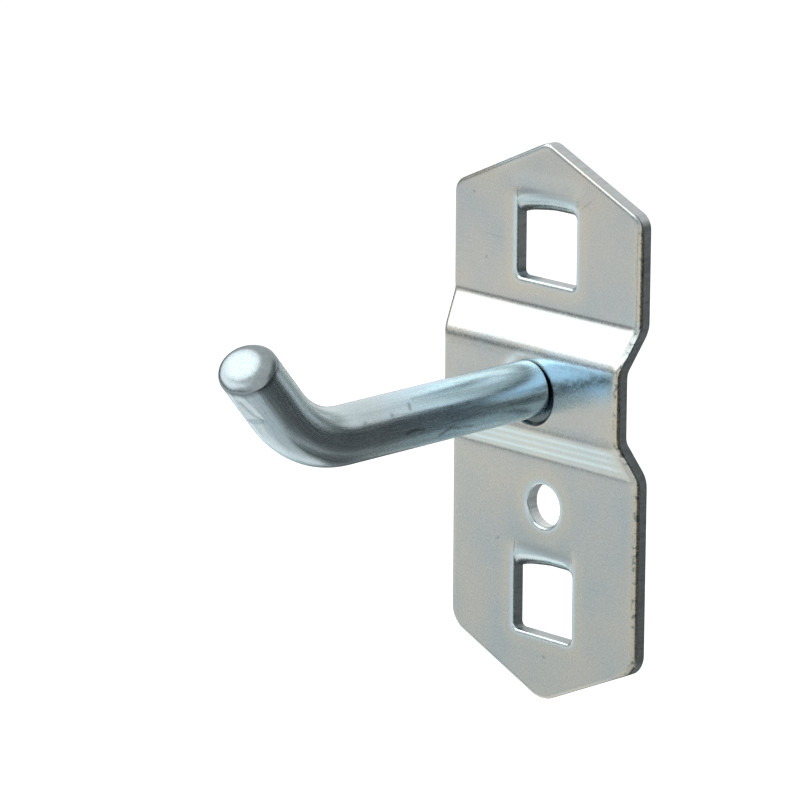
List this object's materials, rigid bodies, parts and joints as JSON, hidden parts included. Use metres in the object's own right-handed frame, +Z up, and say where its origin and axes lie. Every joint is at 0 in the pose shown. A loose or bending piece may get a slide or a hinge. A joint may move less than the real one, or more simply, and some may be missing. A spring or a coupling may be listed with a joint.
{
  "type": "pegboard hook",
  "caption": "Pegboard hook: a stamped sheet back plate with folded lugs for the board and a screw hole, and a round wire peg with an upturned end for hanging tools.",
  "frame": {"origin": "middle of the screw hole on the plate's back plane, which lies on the board", "axes": "+Z up the plate, -Y out of the board along the peg, +X to the right of someone facing the hook"},
  "size_m": [0.0174, 0.0346, 0.0391],
  "materials": {
    "zinc_sheet": "zinc-plated sheet, dull with a fine grain",
    "zinc_wire": "bright zinc-plated wire, slightly scuffed"
  },
  "bodies": {
    "root": {"back_plate": "zinc_sheet", "peg": "zinc_wire"}
  },
  "joints": []
}
